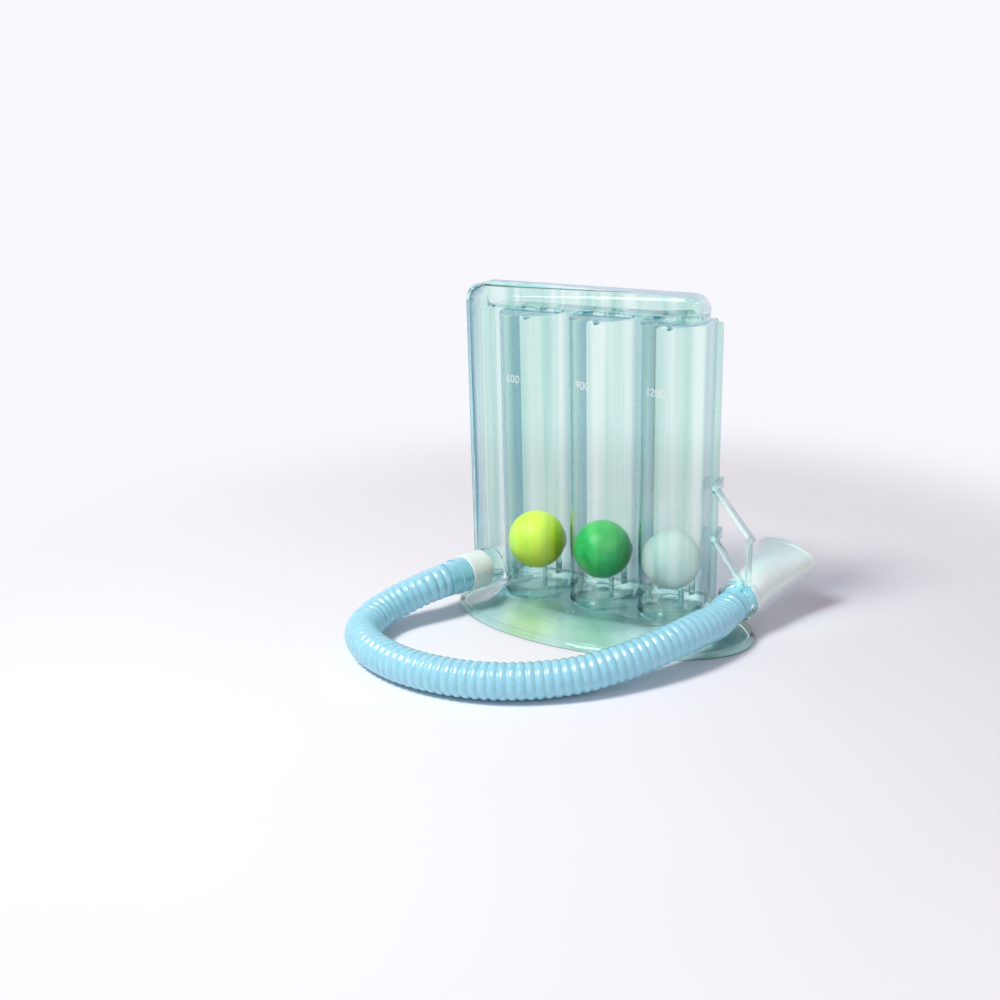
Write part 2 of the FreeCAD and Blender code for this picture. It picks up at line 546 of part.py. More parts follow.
collar = new_body("hose_collar_start")
first = {"Radius": "collar_radius", "Height": "collar_step"}
prim(collar, "AdditiveCylinder", "collar_big", first, ("0", "0", "boss_out + cuff_length"))
second = {"Radius": "hose_radius", "Height": "collar_length"}
prim(collar, "AdditiveCylinder", "collar_small", second, ("0", "0", "boss_out + cuff_length"))
bore = {"Radius": "neck_radius", "Height": "collar_length + 2 * past"}
prim(collar, "SubtractiveCylinder", "collar_bore", bore, ("0", "0", "boss_out + cuff_length - past"))
collar.Placement = FreeCAD.Placement(FreeCAD.Vector(0, 0, 0), PORT_TURN)
collar.setExpression("Placement.Base.x", s("-port_x"))
collar.setExpression("Placement.Base.y", s("duct_front"))
collar.setExpression("Placement.Base.z", s("port_z"))

# Mouthpiece: round socket that fans out to a flat oval mouth, built along local +Z.
SOCKET = FreeCAD.Vector(65.6, 13.0, 17.2)
AIM = FreeCAD.Vector(11.2, 41.0, 9.6)
AIM.normalize()
side_way = AIM.cross(FreeCAD.Vector(0, 0, 1)).normalize()
up_way = side_way.cross(AIM).normalize()
ROLL = math.radians(6)
wide_way = side_way * math.cos(ROLL) - up_way * math.sin(ROLL)
thick_way = AIM.cross(wide_way)
MOUTH_TURN = FreeCAD.Rotation(wide_way, thick_way, AIM, "ZXY")
mouth = new_body("mouthpiece")
prim(mouth, "AdditiveCylinder", "socket", {"Radius": "socket_radius", "Height": "socket_length"}, ("0", "0", "0"))
begin = circle(mouth, "fan_start", "XY_Plane", "socket_length", "socket_radius")
finish = ellipse(mouth, "fan_end", "XY_Plane", "mouth_length", "mouth_wide", "mouth_thick")
loft(mouth, "AdditiveLoft", "fan", begin, finish)
sketch = ellipse(mouth, "lip_outline", "XY_Plane", "mouth_length - mouth_lip", "mouth_wide + lip_proud",
                 "mouth_thick + lip_proud")
extrude(mouth, "Pad", "lip", sketch, "mouth_lip")
bore = {"Radius": "end_radius + pull_gap", "Height": "end_inside + end_gap + past"}
prim(mouth, "SubtractiveCylinder", "socket_bore", bore, ("0", "0", "-past"))
begin = circle(mouth, "way_start", "XY_Plane", "end_inside - past / 2", "hose_bore")
finish = ellipse(mouth, "way_end", "XY_Plane", "mouth_length + 0.01", "mouth_wide - mouth_wall",
                 "mouth_thick - mouth_wall")
loft(mouth, "SubtractiveLoft", "way", begin, finish)
mouth.Placement = FreeCAD.Placement(SOCKET, MOUTH_TURN)

end = new_body("hose_collar_end")
tube = {"Radius": "end_radius", "Height": "end_outside + end_inside"}
prim(end, "AdditiveCylinder", "end_tube", tube, ("0", "0", "-end_outside"))
bore = {"Radius": "hose_bore", "Height": "end_outside + end_inside + 2 * past"}
prim(end, "SubtractiveCylinder", "end_bore", bore, ("0", "0", "-end_outside - past"))
end.Placement = FreeCAD.Placement(SOCKET, MOUTH_TURN)

# Holder: two slanted bars, a post and a ring round the hose collar, tabbed to the flange.
holder = new_body("mouthpiece_holder")
post = {"Length": "holder_bar", "Width": "holder_deep", "Height": "post_top - post_foot"}
prim(holder, "AdditiveBox", "post", post, ("post_x", "holder_front", "post_foot"))
for name, from_z, to_z in (("upper", "bar_high", "post_top - bar_drop"), ("lower", "bar_low", "post_foot")):
    run_x = value_of("post_x + holder_bar - flange_right")
    drop = value_of(from_z + " - (" + to_z + ")")
    lean = math.degrees(math.atan2(drop, run_x))
    turn = FreeCAD.Rotation(FreeCAD.Vector(0, 1, 0), lean)
    bar = {"Length": "sqrt((post_x + holder_bar - flange_right) ^ 2 + (" + from_z + " - (" + to_z + ")) ^ 2)"}
    bar["Width"] = "holder_deep"
    bar["Height"] = "holder_bar"
    prim(holder, "AdditiveBox", name + "_bar", bar, ("flange_right", "holder_front", from_z), turn)
    tab = {"Length": "tab_thick", "Width": "shell_back - holder_front", "Height": "tab_high"}
    prim(holder, "AdditiveBox", name + "_tab", tab, ("flange_right", "holder_front", from_z + " - tab_drop"))
ring = {"Radius": "end_radius + ring_gap + ring_wall", "Height": "ring_deep"}
hole = {"Radius": "end_radius + ring_gap", "Height": "ring_deep + 2 * ring_reach"}
for kind, name, sizes, before in (
    ("AdditiveCylinder", "ring", ring, "ring_back + ring_deep"),
    ("SubtractiveCylinder", "ring_hole", hole, "ring_back + ring_deep + ring_reach"),
):
    place = ["%.6f - (%s) * %.6f" % (m, before, a) for m, a in zip(SOCKET, AIM)]
    prim(holder, kind, name, sizes, place, MOUTH_TURN)
doc.recompute()


# Hose: straight runs joined by tangent arcs, from the start collar to the end collar.
def along_port(distance):
    turn = math.radians(v["port_turn"])
    x = -value_of("port_x") - distance * math.sin(turn)
    y = v["duct_front"] - distance * math.cos(turn)
    return FreeCAD.Vector(x, y, v["port_z"])


reach = v["boss_out"] + v["cuff_length"] + v["collar_length"]
ROUTE = [along_port(reach), along_port(reach + 8.4)]
for x, y, z in (
    (-84.0, -39.6, 14.4), (-92.5, -54.0, 10.0), (-90.5, -74.0, 8.4), (-73.5, -88.5, 8.4), (-46.0, -97.5, 8.4),
    (-12.0, -95.0, 8.4), (18.0, -79.0, 8.8), (37.0, -60.0, 11.8), (50.0, -42.0, 15.0), (57.8, -25.0, 16.0),
    (61.8, -12.0, 14.5),
):
    ROUTE.append(FreeCAD.Vector(x, y, z))
ROUTE.append(SOCKET - AIM * (v["end_outside"] + 7.8))
ROUTE.append(SOCKET - AIM * v["end_outside"])


def rounded(points):
    edges = []
    last = points[0]
    radii = []
    for i in range(1, len(points) - 1):
        a = points[i - 1] - points[i]
        b = points[i + 1] - points[i]
        cut = 0.45 * min(a.Length, b.Length)
        half = (math.pi - a.getAngle(b)) / 2
        radius = cut / math.tan(half)
        a.normalize()
        b.normalize()
        enter = points[i] + a * cut
        leave = points[i] + b * cut
        middle = (a + b).normalize()
        to_centre = math.hypot(radius, cut)
        crest = points[i] + middle * (to_centre - radius)
        edges.append(Part.LineSegment(last, enter).toShape())
        edges.append(Part.Arc(enter, crest, leave).toShape())
        radii.append(round(radius, 1))
        last = leave
    edges.append(Part.LineSegment(last, points[-1]).toShape())
    return Part.Wire(edges), radii


path, radii = rounded(ROUTE)
begin = ROUTE[1] - ROUTE[0]


def swept(radius):
    ring = Part.Wire([Part.Circle(ROUTE[0], begin, radius).toShape()])
    return path.makePipeShell([ring], True, False)


hose = doc.addObject("Part::Feature", "hose_tube")
hose.Label = "hose_tube"
hose.Shape = swept(v["hose_radius"]).cut(swept(v["hose_bore"]))
doc.recompute()
wanted = math.pi * (v["hose_radius"] ** 2 - v["hose_bore"] ** 2) * path.Length
print("hose length", round(path.Length, 1), "radii", radii)
print("hose volume", round(hose.Shape.Volume), "section times length", round(wanted))

NODES = ["front_shell", "back_shell", "base_foot"]
NODES += ["orifice_seat_left", "orifice_seat_middle", "orifice_seat_right"]
NODES += ["ball_left", "ball_middle", "ball_right", "port_cuff", "hose_collar_start", "hose_tube"]
NODES += ["hose_collar_end", "mouthpiece", "mouthpiece_holder"]

for item in doc.Objects:
    if "Invalid" in item.State or "Error" in item.State:
        raise RuntimeError("broken: " + item.Name)

os.makedirs("parts", exist_ok=True)
for node in NODES:
    item = doc.getObjectsByLabel(node)[0]
    if item.Shape.isNull() or not item.Shape.isValid():
        raise RuntimeError("bad shape: " + node)
    box = item.Shape.BoundBox
    print("%-20s solids %d volume %8.1f  x %.1f %.1f  y %.1f %.1f  z %.1f %.1f" % (
        node, len(item.Shape.Solids), item.Shape.Volume,
        box.XMin, box.XMax, box.YMin, box.YMax, box.ZMin, box.ZMax))
    item.Shape.exportStep("parts/" + node + ".step")
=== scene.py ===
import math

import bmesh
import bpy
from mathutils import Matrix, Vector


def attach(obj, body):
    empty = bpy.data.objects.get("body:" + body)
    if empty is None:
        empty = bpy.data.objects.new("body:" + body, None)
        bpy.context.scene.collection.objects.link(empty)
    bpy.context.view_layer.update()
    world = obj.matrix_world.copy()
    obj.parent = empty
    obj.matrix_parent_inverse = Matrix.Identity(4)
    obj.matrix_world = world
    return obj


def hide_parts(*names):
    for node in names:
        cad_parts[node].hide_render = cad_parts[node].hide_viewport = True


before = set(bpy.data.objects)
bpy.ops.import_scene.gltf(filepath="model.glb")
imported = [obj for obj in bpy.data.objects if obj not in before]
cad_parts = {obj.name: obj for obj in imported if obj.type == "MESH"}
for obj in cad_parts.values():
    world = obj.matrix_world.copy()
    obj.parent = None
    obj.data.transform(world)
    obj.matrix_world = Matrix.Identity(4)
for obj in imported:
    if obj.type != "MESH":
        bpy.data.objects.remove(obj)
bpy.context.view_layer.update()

# %% [markdown]
# # Three ball incentive spirometer
#
# A patient draws air through the mouthpiece and the hose, and the air lifts the balls in the three clear
# columns, one after the other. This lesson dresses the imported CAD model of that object. The clear shells
# keep their CAD shapes and get a refracting plastic, the hose gets its ribs, the mouthpiece its smooth
# fan, the foot its smooth dish and the balls their satin skins.
#
# Lengths are in metres in Blender. Sizes are written in millimetres and multiplied by MM. +Z is up and -Y
# points to the viewer, as in the CAD model.

MM = 0.001

# %% [markdown]
# ## Camera
#
# The camera was fitted to the outlines of the balls, columns, duct and foot. It stands 22.9 degrees to the
# right and 17.6 degrees above, 573 mm from a point 75 mm above the floor. A small shift puts the object
# where the photograph has it.

# %% camera
AZIMUTH = math.radians(22.9)
ELEVATION = math.radians(17.6)
DISTANCE = 573.2 * MM
TARGET = Vector((0, 0, 75 * MM))


def direction(azimuth, elevation):
    flat = math.cos(elevation)
    return Vector((math.sin(azimuth) * flat, -math.cos(azimuth) * flat, math.sin(elevation)))


def show(obj):
    bpy.context.scene.collection.objects.link(obj)
    return obj


camera_data = bpy.data.cameras.new("camera")
camera = show(bpy.data.objects.new("camera", camera_data))
camera.location = TARGET + direction(AZIMUTH, ELEVATION) * DISTANCE
camera.rotation_euler = (TARGET - camera.location).to_track_quat("-Z", "Y").to_euler()
camera_data.lens = 44.05
camera_data.sensor_width = 36
camera_data.shift_x = -0.1025
camera_data.shift_y = -0.0277
camera_data.clip_start = 0.01
bpy.context.scene.camera = camera
print("camera at", [round(c, 3) for c in camera.location])

# %% [markdown]
# ## Colours and nodes
#
# Colours are written as sRGB hex, as a colour picker shows them, and one function turns them to the linear
# values that shaders work in. One function adds a node to any tree, for materials, world and Geometry
# Nodes alike. It sets the node's settings, and gives each input a value or, where it is handed a node or
# one of its outputs, a link.

# %% colour and node helpers
WHITE = "#FFFFFF"


def hex_colour(text):
    parts = [int(text[i:i + 2], 16) / 255 for i in (1, 3, 5)]
    linear = [c / 12.92 if c <= 0.04045 else ((c + 0.055) / 1.055) ** 2.4 for c in parts]
    return (*linear, 1.0)


def add(tree, kind, inputs=None, stops=(), **settings):
    # stops are the places and colours of a colour ramp
    node = tree.nodes.new(kind)
    for name, value in settings.items():
        setattr(node, name, value)
    for index, (place, colour) in enumerate(stops):
        node.color_ramp.elements[index].color = hex_colour(colour)
        node.color_ramp.elements[index].position = place
    for name, value in (inputs or {}).items():
        if isinstance(value, bpy.types.Node):
            value = value.outputs[0]
        if isinstance(value, bpy.types.NodeSocket):
            tree.links.new(value, node.inputs[name])
        else:
            node.inputs[name].default_value = value
    return node


def new_material(name):
    material = bpy.data.materials.new(name)
    material.use_nodes = True
    material.node_tree.nodes.clear()
    return material, material.node_tree


def mottle(tree, per_mm, detail, stretch=(1, 1, 1)):
    # noise in object coordinates, with so many features to the millimetre
    place = add(tree, "ShaderNodeTexCoord")
    scaled = add(tree, "ShaderNodeMapping", {"Vector": place.outputs["Object"], "Scale": stretch})
    return add(tree, "ShaderNodeTexNoise", {"Vector": scaled, "Scale": per_mm / MM, "Detail": detail,
                                            "Roughness": 0.5})


# %% [markdown]
# ## Clear styrene
#
# The shells, the foot, the seats and the holder are moulded from clear styrene with a pale aqua tint. To
# the eye it is nearly colourless face on, turns blue where a wall is seen edge on, and shows faint upright
# streaks where the melt flowed. Glass with its real index would bend the view into dark patches at this
# size, so the body bends light little and a glossy coat of index 1.5 carries the reflections. Absorption
# in the depth of the walls gives the aqua, and a slow ripple stands for the sink of moulded walls.
#
# A lamp shines through the walls, a little tinted. The back shell and the foot hold back more of it, so
# that the body keeps its shadow on the floor.

# %% clear styrene
LOW_BEND = 1.12
STYRENE_DEPTH = "#89E5E7"
STREAKS_PER_MM = 0.14
RIPPLES_PER_MM = 0.09
RIPPLE_MM = 0.006


def clear_plastic(name, face, edge, streak="#E0F2EE", roughness=0.02, coat=1.5, absorb=42.0,
                  through="#EEF2F5", painted_reflections=()):
    # injection moulded styrene: the coat gives its hard gloss, the low index of the body keeps what stands
    # behind it in place, and the tint of the edges draws each wall
    material, tree = new_material(name)
    seen = add(tree, "ShaderNodeLayerWeight", {"Blend": 0.5})
    tint = add(tree, "ShaderNodeValToRGB", {"Fac": seen.outputs["Facing"]}, [(0.48, face), (0.86, edge)])
    upright = mottle(tree, STREAKS_PER_MM, 2.0, (1, 1, 0.02))
    flow = add(tree, "ShaderNodeValToRGB", {"Fac": upright}, [(0.38, streak), (0.56, WHITE)])
    tint = add(tree, "ShaderNodeVectorMath", {0: tint, 1: flow}, operation="MULTIPLY")
    for centre, reach, colour in painted_reflections:
        # a painted reflection: a soft round tint where a coloured ball would shine into the plastic
        place = add(tree, "ShaderNodeTexCoord")
        gap = add(tree, "ShaderNodeVectorMath", {0: place.outputs["Object"], 1: Vector(centre) * MM},
                  operation="DISTANCE")
        share = add(tree, "ShaderNodeMath", {0: gap.outputs["Value"], 1: reach * MM}, operation="DIVIDE")
        painted_reflection = add(tree, "ShaderNodeValToRGB", {"Fac": share}, [(0.2, colour), (1.0, WHITE)])
        tint = add(tree, "ShaderNodeVectorMath", {0: tint, 1: painted_reflection}, operation="MULTIPLY")
    ripple = add(tree, "ShaderNodeBump", {"Height": mottle(tree, RIPPLES_PER_MM, 1.0),
                                          "Distance": RIPPLE_MM * MM, "Strength": 1.0})
    body = add(tree, "ShaderNodeBsdfPrincipled", {
        "Base Color": tint, "Normal": ripple, "Roughness": roughness, "IOR": LOW_BEND,
        "Transmission Weight": 1.0, "Coat Weight": 1.0, "Coat IOR": coat, "Coat Roughness": 0.02})
    path = add(tree, "ShaderNodeLightPath")
    passing = add(tree, "ShaderNodeBsdfTransparent", {"Color": hex_colour(through)})
    both = add(tree, "ShaderNodeMixShader", {"Fac": path.outputs["Is Shadow Ray"], 1: body, 2: passing})
    depth = add(tree, "ShaderNodeVolumeAbsorption", {"Color": hex_colour(STYRENE_DEPTH), "Density": absorb})
    add(tree, "ShaderNodeOutputMaterial", {"Surface": both, "Volume": depth})
    return material


FACE_ON, EDGE_ON = "#FAFFFC", "#2674AC"
CLEAR_SHELL = clear_plastic("clear_styrene_shell", FACE_ON, EDGE_ON)
CLEAR_BACK = clear_plastic("clear_styrene_back", FACE_ON, EDGE_ON, through="#A698A4")
CLEAR_SEAT = clear_plastic("clear_styrene_seat", FACE_ON, "#7FB4CC", absorb=25.0)
# painted reflections: soft lime and green tints on the foot where the balls would shine into it, fixed in
# place
PAINTED_BALL_REFLECTIONS = [((-27, -27, 10), 20, "#EEF5C0"), ((6, -29, 10), 20, "#C4E6CE")]
CLEAR_FOOT = clear_plastic("clear_styrene_foot", "#E4F0EA", "#2F88A6", streak="#EEF8F4", roughness=0.04,
                           coat=1.7, absorb=60.0, through="#D8D2D8", painted_reflections=PAINTED_BALL_REFLECTIONS)

# %% [markdown]
# ## Moulded polyethylene, tubing and balls
#
# The balls are hollow mouldings with a satin skin, two dyed right through and one left natural, which
# lets light in and looks frosted. The mouthpiece and its cuff are soft mint polyethylene with a dull
# sheen. The hose is thin blown tubing: light scatters in it and each rib catches a sharp gleam, so it has
# a coat. All share one build: a faint mottle of two close shades and a grain too fine to count.

# %% balls, cuff, mouthpiece and hose
SHADES_PER_MM = 0.35
SCATTER_MM = 2.5


def plastic(name, low, high, roughness, grain_per_mm, grain_mm, subsurface, transmission=0.0, coat=0.0,
            bend=1.48):
    # two close shades, then the roughness, and the grain by its count to the millimetre and its height
    material, tree = new_material(name)
    shade = add(tree, "ShaderNodeValToRGB", {"Fac": mottle(tree, SHADES_PER_MM, 4.0)},
                [(0.3, low), (0.7, high)])
    grain = add(tree, "ShaderNodeBump", {"Height": mottle(tree, grain_per_mm, 2.0),
                                         "Distance": grain_mm * MM, "Strength": 1.0})
    body = add(tree, "ShaderNodeBsdfPrincipled", {
        "Base Color": shade, "Normal": grain, "Roughness": roughness, "IOR": bend,
        "Transmission Weight": transmission, "Coat Weight": coat, "Coat Roughness": 0.06,
        "Subsurface Weight": subsurface, "Subsurface Scale": SCATTER_MM * MM})
    add(tree, "ShaderNodeOutputMaterial", {"Surface": body})
    return material


# dyed polyethylene, blown in a matt mould: a wide soft highlight on a strong even colour
LIME = plastic("lime_ball_satin", "#D2DA28", "#DAE232", 0.32, 1.2, 0.01, 0.15)
GREEN = plastic("green_ball_satin", "#1CA03E", "#26AC4A", 0.30, 1.2, 0.01, 0.1)
# the same moulding without dye: light passes and is spread, so the ball looks frosted
FROST = plastic("frosted_ball", "#F4FCF8", "#FBFFFD", 0.42, 1.2, 0.01, 0.1, transmission=0.75, bend=1.15)
# soft injection moulded polyethylene: pale, with a dull sheen along the curves
MINT = plastic("mint_polyethylene", "#EAFBF4", "#F2FDF8", 0.30, 0.8, 0.008, 0.3)
# thin tubing, blown into a ribbed mould: a pale blue with a gleam on every rib
HOSE = plastic("blue_ribbed_tubing", "#92D6EA", "#A0DEF0", 0.3, 0.8, 0.004, 0.3, coat=1.0)
print("plastics:", len(bpy.data.materials), "materials so far")

# %% [markdown]
# ## Raised figures
#
# The figures are part of the clear moulding. Their small edges scatter the light, so they read as pale,
# half see-through marks. A plain see-through skin shows that without more layers of glass.

# %% raised figures
figures, tree = new_material("raised_figures")
pale = add(tree, "ShaderNodeValToRGB", {"Fac": mottle(tree, 1.5, 2.0)}, [(0.3, "#E6F4F4"), (0.7, WHITE)])
skin = add(tree, "ShaderNodeBsdfPrincipled", {"Base Color": pale, "Roughness": 0.35, "IOR": 1.48,
                                              "Alpha": 0.55})
add(tree, "ShaderNodeOutputMaterial", {"Surface": skin})
print("materials:", len(bpy.data.materials))

# %% [markdown]
# ## Hose line
#
# The hose lies in a loose loop on the floor, from the port to the mouthpiece. Its line could be drawn by
# hand, but the CAD tube already has one, so the same points carry one NURBS spline here. The bare curve also
# gives the hose's path and its length.

# %% hose line
ROUTE_MM = [
    (-73.65, -23.63, 17.5), (-76.80, -31.42, 17.5), (-84.0, -39.6, 14.4), (-92.5, -54.0, 10.0),
    (-90.5, -74.0, 8.4), (-73.5, -88.5, 8.4), (-46.0, -97.5, 8.4), (-12.0, -95.0, 8.4),
    (18.0, -79.0, 8.8), (37.0, -60.0, 11.8), (50.0, -42.0, 15.0), (57.8, -25.0, 16.0),
    (61.8, -12.0, 14.5), (61.54, -1.87, 13.72), (63.54, 5.47, 15.44),
]
line = bpy.data.curves.new("hose_line", "CURVE")
line.dimensions = "3D"
line.resolution_u = 24
spline = line.splines.new("NURBS")
spline.points.add(len(ROUTE_MM) - 1)
for point, place in zip(spline.points, ROUTE_MM):
    point.co = (*[c * MM for c in place], 1)
spline.order_u = 3
spline.use_endpoint_u = True
line_object = show(bpy.data.objects.new("hose_line", line))


def evaluated(obj):
    graph = bpy.context.evaluated_depsgraph_get()
    return bpy.data.meshes.new_from_object(obj.evaluated_get(graph), depsgraph=graph)


HOSE_PATH = [tuple(v.co) for v in evaluated(line_object).vertices]
HOSE_LENGTH = sum((Vector(a) - Vector(b)).length for a, b in zip(HOSE_PATH, HOSE_PATH[1:]))
print("hose line: %d points, %.1f mm" % (len(HOSE_PATH), HOSE_LENGTH / MM))

# %% [markdown]
# ## Ribs of the hose
#
# Blown tubing has round ribs with sharp valleys between them. Rings could be stacked along the line, but
# they would not join. Geometry Nodes sweep one circle instead, and its radius swells once every pitch: the
# root radius plus the rib's height times a power of a half sine wave.

# %% hose ribs with Geometry Nodes
RIB_PITCH_MM = 3.8
ROOT_RADIUS_MM = 7.35
RIB_HEIGHT_MM = 0.8
STEPS_PER_RIB = 10
MATHS = "ShaderNodeMath"


def rib_tool():
    tree = bpy.data.node_groups.new("ribbed_tube", "GeometryNodeTree")
    face = tree.interface
    face.new_socket("Geometry", in_out="INPUT", socket_type="NodeSocketGeometry")
    for name in ("Pitch", "Root radius", "Rib height", "Step"):
        face.new_socket(name, in_out="INPUT", socket_type="NodeSocketFloat")
    face.new_socket("Material", in_out="INPUT", socket_type="NodeSocketMaterial")
    face.new_socket("Geometry", in_out="OUTPUT", socket_type="NodeSocketGeometry")
    given = add(tree, "NodeGroupInput").outputs
    path = add(tree, "GeometryNodeResampleCurve", {"Curve": given["Geometry"], "Length": given["Step"]},
               mode="LENGTH")
    along = add(tree, "GeometryNodeSplineParameter")
    turns = add(tree, MATHS, {0: along.outputs["Length"], 1: given["Pitch"]}, operation="DIVIDE")
    phase = add(tree, MATHS, {0: turns}, operation="FRACT")
    angle = add(tree, MATHS, {0: phase, 1: math.pi}, operation="MULTIPLY")
    wave = add(tree, MATHS, {0: angle}, operation="SINE")
    crest = add(tree, MATHS, {0: wave, 1: 0.75}, operation="POWER")
    rise = add(tree, MATHS, {0: crest, 1: given["Rib height"]}, operation="MULTIPLY")
    radius = add(tree, MATHS, {0: rise, 1: given["Root radius"]}, operation="ADD")
    ring = add(tree, "GeometryNodeCurvePrimitiveCircle", {"Resolution": 44, "Radius": 1.0})
    sweep = add(tree, "GeometryNodeCurveToMesh", {"Curve": path, "Profile Curve": ring, "Scale": radius,
                                                  "Fill Caps": True})
    smooth = add(tree, "GeometryNodeSetShadeSmooth", {"Geometry": sweep})
    real = add(tree, "GeometryNodeRealizeInstances", {"Geometry": smooth})
    paint = add(tree, "GeometryNodeSetMaterial", {"Geometry": real, "Material": given["Material"]})
    add(tree, "NodeGroupOutput", {"Geometry": paint})
    return tree


def grow(obj, tree, values):
    # puts the tree on an object, gives its inputs their values and returns the finished mesh
    modifier = obj.modifiers.new("grow", "NODES")
    modifier.node_group = tree
    for item in tree.interface.items_tree:
        if item.in_out == "INPUT" and item.name in values:
            modifier[item.identifier] = values[item.name]
    mesh = evaluated(obj)
    obj.modifiers.remove(modifier)
    return mesh


RIBS = round(HOSE_LENGTH / (RIB_PITCH_MM * MM))
PITCH = HOSE_LENGTH / RIBS
rib_values = {"Pitch": PITCH, "Root radius": ROOT_RADIUS_MM * MM, "Rib height": RIB_HEIGHT_MM * MM}
rib_values.update({"Step": PITCH / STEPS_PER_RIB, "Material": HOSE})
hose = show(bpy.data.objects.new("hose", grow(line_object, rib_tool(), rib_values)))
bpy.data.objects.remove(line_object)
print("hose: %d ribs of %.2f mm, %d faces" % (RIBS, PITCH / MM, len(hose.data.polygons)))

# %% [markdown]
# ## Clear mouldings
#
# The shells, the holder and the seats have the right shapes in the CAD model, but its meshes are loose
# triangles, and glass shows each one. So a copy of each is welded, smoothed up to an angle and weighted by
# face area. It is also drawn in by a few hundredths of a millimetre, so that two touching mouldings keep
# the hair of air between them that the real ones have.

# %% welded copies
AIR_MM = 0.03
WELD_MM = 0.002
SMOOTH_ANGLE = math.radians(35)


def welded(node, name, material):
    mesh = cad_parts[node].data.copy()
    work = bmesh.new()
    work.from_mesh(mesh)
    bmesh.ops.remove_doubles(work, verts=work.verts, dist=WELD_MM * MM)
    bmesh.ops.recalc_face_normals(work, faces=work.faces)
    work.normal_update()
    moves = [v.normal * (-AIR_MM * MM) for v in work.verts]
    for vertex, move in zip(work.verts, moves):
        vertex.co += move
    work.to_mesh(mesh)
    work.free()
    mesh.materials.clear()
    mesh.materials.append(material)
    piece = show(bpy.data.objects.new(name, mesh))
    mesh.shade_smooth()
    mesh.set_sharp_from_angle(angle=SMOOTH_ANGLE)
    by_area = piece.modifiers.new("by_area", "WEIGHTED_NORMAL")
    by_area.weight = 100
    by_area.keep_sharp = True
    piece.data = evaluated(piece)
    piece.modifiers.remove(by_area)
    piece.data.name = name
    print("%-20s %6d faces" % (name, len(piece.data.polygons)))
    return piece


CLEAR_NODES = [
    ("front_shell", "shell_front_clear", CLEAR_SHELL),
    ("back_shell", "shell_back_clear", CLEAR_BACK),
    ("mouthpiece_holder", "holder_clear", CLEAR_SHELL),
    ("orifice_seat_left", "seat_left_clear", CLEAR_SEAT),
    ("orifice_seat_middle", "seat_middle_clear", CLEAR_SEAT),
    ("orifice_seat_right", "seat_right_clear", CLEAR_SEAT),
]
clear_pieces = [(welded(node, name, material), node) for node, name, material in CLEAR_NODES]

# %% [markdown]
# ## Walls from rings
#
# The foot and the mouthpiece are both walls whose outline changes slowly along the way. Each is made of
# rings with the same count of points, joined by a strip of faces. This keeps the lines as smooth as the
# formulas behind them, and the wall is closed because the rings run out over one side and back over the
# other.

# %% strips of faces


def strip(first, second, count):
    # faces between two rings that start at these points
    return [(first + k, first + (k + 1) % count, second + (k + 1) % count, second + k) for k in range(count)]


def ring_piece(name, rings, faces, material, angle):
    mesh = bpy.data.meshes.new(name)
    mesh.from_pydata([point for ring in rings for point in ring], [], faces)
    work = bmesh.new()
    work.from_mesh(mesh)
    bmesh.ops.recalc_face_normals(work, faces=work.faces)
    work.to_mesh(mesh)
    work.free()
    mesh.shade_smooth()
    mesh.set_sharp_from_angle(angle=math.radians(angle))
    mesh.materials.append(material)
    print("%-20s %6d faces" % (name, len(mesh.polygons)))
    return show(bpy.data.objects.new(name, mesh))


# %% [markdown]
# ## Foot
#
# The foot is one thin clear dish turned upside down: an oval with a rounded rim that rises smoothly to the
# columns. The rings run from the floor of the recess that holds the columns, over the crown, down the slope
# to the rim, round it and back up underneath. Towards the two tips the slope is hollow, which leaves room
# for the hose.

# %% outlines and slope of the foot
COLUMN_PITCH = 34.75
COLUMN_RADIUS = 15.5
SHELL_BACK = 16.0
SHELL_BOTTOM = 10.5
FOOT_LONG, FOOT_DEEP = 76.0, 38.0
CROWN_CENTRE = 30.0
CROWN_TOP = 13.0
AROUND = 192


def ring_from(place, height):
    # place gives x and y for an angle, height is a number or a formula of the angle
    points = []
    for k in range(AROUND):
        a = 2 * math.pi * k / AROUND
        x, y = place(a)
        points.append(Vector((x, y, height(a) if callable(height) else height)) * MM)
    return points


def oval(trim):
    return lambda a: ((FOOT_LONG - trim) * math.cos(a), (FOOT_DEEP - trim) * math.sin(a))


def obround(radius):
    def place(a):
        x = (CROWN_CENTRE + radius) * math.cos(a)
        past = max(0.0, abs(x) - CROWN_CENTRE)
        return x, math.copysign(math.sqrt(max(0.0, radius * radius - past * past)), math.sin(a))
    return place


def lobes(radius, rear, margin=0.0):
    # outline of the three columns: round lobes in front, the flat back shell behind
    def place(a):
        x = (COLUMN_PITCH + radius) * math.cos(a)
        dx = x - COLUMN_PITCH * max(-1, min(1, round(x / COLUMN_PITCH)))
        if math.sin(a) < 0:
            return x, -math.sqrt(max(0.0, radius * radius - dx * dx)) - margin
        return x, rear * min(1.0, 4 * math.sin(a))
    return place


def between(one, other, share):
    def place(a):
        (x, y), (u, v) = one(a), other(a)
        return x + (u - x) * share, y + (v - y) * share
    return place


def slope(share, rim, crown):
    # domed in front and behind, hollow towards the two tips
    def height(a):
        tip = abs(math.cos(a)) ** 4
        rise = (1 - tip) * (1 - (1 - share) ** 1.8) + tip * share ** 3
        return rim + (crown - rim) * rise
    return height


